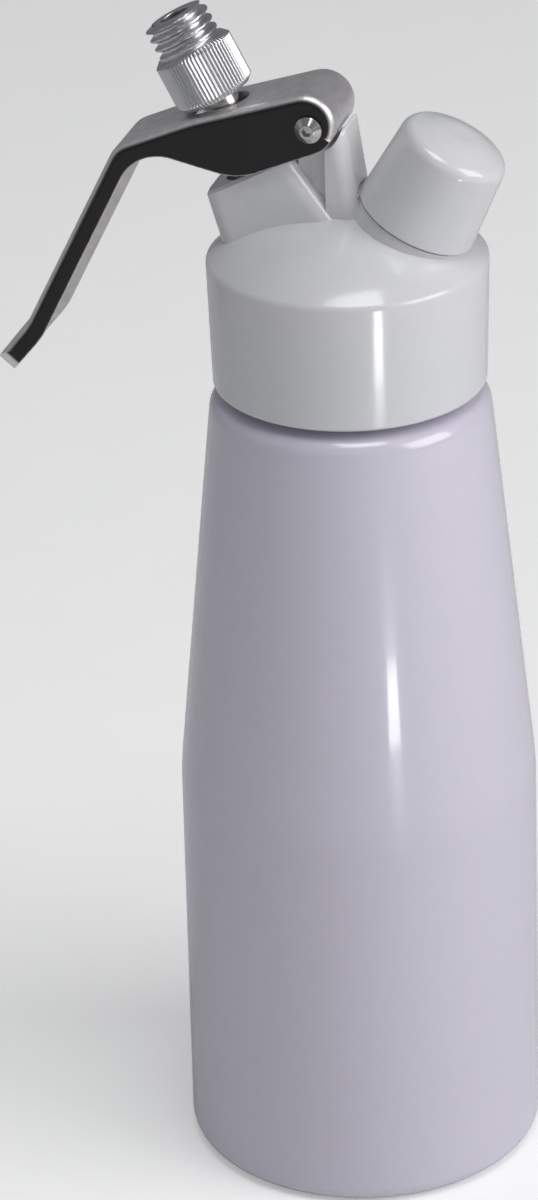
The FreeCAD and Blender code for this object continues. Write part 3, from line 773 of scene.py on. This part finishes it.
class DISPENSER_OT_stage(bpy.types.Operator):
    """Stage: pale floor, soft lights, white surroundings and the camera"""
    bl_idname = "dispenser.stage"
    bl_label = "Stage and camera"

    def execute(self, context):
        self.floor()
        self.world()
        self.lights()
        self.strips()
        self.camera()
        context.scene.view_settings.view_transform = "Standard"
        return {"FINISHED"}

    def floor(self):
        """Round level floor just under the base: rings whose radii grow evenly in ratio.

        Its glow is seen by the camera alone, so it pales the floor and adds no light to the object.
        """
        first_ring, rim, ring_count, columns = 0.02, 6.0, 40, 96
        under_base, glow = 0.0002, 0.30
        rings = np.concatenate([[0.0], np.geomspace(first_ring, rim, ring_count)])
        angle = np.linspace(0, 2 * math.pi, columns, endpoint=False)
        r = rings[:, None] * np.ones_like(angle)[None]
        grid = np.stack([r * np.cos(angle), r * np.sin(angle), np.zeros_like(r) - under_base], -1)
        ground = surface("Floor", grid)
        pale = material("Pale floor", (0.86, 0.86, 0.86), 0.6, 0.05)
        tree = pale.node_tree
        ray = tree.nodes.new("ShaderNodeLightPath")
        lift = maths(tree, "MULTIPLY", ray.outputs["Is Camera Ray"], glow)
        shader = tree.nodes["Principled BSDF"]
        shader.inputs["Emission Color"].default_value = (*WHITE, 1.0)
        tree.links.new(lift, shader.inputs["Emission Strength"])
        ground.data.materials.append(pale)

    def world(self):
        """White for the camera and plain pale grey for the light."""
        world = bpy.data.worlds.new("Surroundings")
        bpy.context.scene.world = world
        world.use_nodes = True
        tree = world.node_tree
        tree.nodes.clear()
        ray = tree.nodes.new("ShaderNodeLightPath")
        pick = tree.nodes.new("ShaderNodeMixShader")
        tree.links.new(ray.outputs["Is Camera Ray"], pick.inputs[0])
        for slot, colour, strength in ((1, (0.86, 0.87, 0.92), 0.22), (2, WHITE, 1.0)):
            background = tree.nodes.new("ShaderNodeBackground")
            background.inputs["Color"].default_value = (*colour, 1.0)
            background.inputs["Strength"].default_value = strength
            tree.links.new(background.outputs[0], pick.inputs[slot])
        out = tree.nodes.new("ShaderNodeOutputWorld")
        tree.links.new(pick.outputs[0], out.inputs["Surface"])

    def lights(self):
        """Broad soft light from the right, a weak one from the left and one from above."""
        for name, azimuth, height, distance, size, power, colour in SOFT_LIGHTS:
            turn = math.radians(azimuth)
            spot = Vector((distance * math.sin(turn), -distance * math.cos(turn), height))
            aim = (spot - LIGHT_TARGET).to_track_quat("Z", "Y").to_matrix().to_4x4()
            area_light(name, size, power, colour, Matrix.Translation(spot) @ aim)

    def strips(self):
        """Narrow lights near the floor: upright walls seen from above mirror them as one long line."""
        azimuth = math.radians(STRIP_TURN)
        along = Vector((math.sin(azimuth), -math.cos(azimuth), 0))
        upward = Vector((0, 0, 1))
        turn = axes(upward.cross(along), along, -upward)
        for name, near, far, width, power in STRIPS:
            middle = along * (near + far) / 2 + upward * STRIP_HEIGHT
            area_light(name, (width, far - near), power, WHITE, Matrix.Translation(middle) @ turn)

    def camera(self):
        """Camera at the photograph's angle.

        Its distance, height, aim and slight roll come from the view that was fitted to the photograph.
        """
        distance, height = 0.94432, 0.59876
        pitch, roll, yaw = 0.459, -0.031, -0.020
        about = math.radians(-15.2)
        forward = Vector((
            math.sin(yaw) * math.cos(pitch),
            math.cos(yaw) * math.cos(pitch),
            -math.sin(pitch),
        ))
        level = Vector((math.cos(yaw), -math.sin(yaw), 0))
        up = level.cross(forward)
        right = math.cos(roll) * level + math.sin(roll) * up
        top = math.cos(roll) * up - math.sin(roll) * level
        view = bpy.data.cameras.new("Camera")
        view.lens = 144.0
        view.sensor_width = 36.0
        view.clip_start = 0.05
        spot = Matrix.Translation((0, -distance, height))
        place = Matrix.Rotation(-about, 4, "Z") @ spot @ axes(right, top, -forward)
        bpy.context.scene.camera = staged("Camera", view, place)


class DISPENSER_PT_panel(bpy.types.Panel):
    """Sidebar panel that lists the operators, the colours and the sizes"""
    bl_idname = "DISPENSER_PT_panel"
    bl_label = "Whipped cream dispenser"
    bl_space_type = "VIEW_3D"
    bl_region_type = "UI"
    bl_category = "Dispenser"

    def draw(self, context):
        for step in STEPS:
            self.layout.operator(step.bl_idname)
        for group in (context.scene.dispenser_look, context.scene.dispenser_sizes):
            for name in group.__annotations__:
                self.layout.prop(group, name)


STEPS = (
    DISPENSER_OT_bottle,
    DISPENSER_OT_nozzle,
    DISPENSER_OT_port,
    DISPENSER_OT_spring,
    DISPENSER_OT_carried,
    DISPENSER_OT_stage,
)
CLASSES = (DispenserLook, DispenserSizes, *STEPS, DISPENSER_PT_panel)


def register():
    """Make the classes and their properties known."""
    for kind in CLASSES:
        bpy.utils.register_class(kind)
    bpy.types.Scene.dispenser_look = bpy.props.PointerProperty(type=DispenserLook)
    bpy.types.Scene.dispenser_sizes = bpy.props.PointerProperty(type=DispenserSizes)


def unregister():
    """Forget the classes and their properties."""
    del bpy.types.Scene.dispenser_sizes
    del bpy.types.Scene.dispenser_look
    for kind in reversed(CLASSES):
        bpy.utils.unregister_class(kind)


def main():
    """Register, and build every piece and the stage."""
    register()
    bpy.ops.dispenser.bottle()
    bpy.ops.dispenser.nozzle()
    bpy.ops.dispenser.port()
    bpy.ops.dispenser.spring()
    bpy.ops.dispenser.carried()
    bpy.ops.dispenser.stage()


if __name__ == "__main__":
    main()
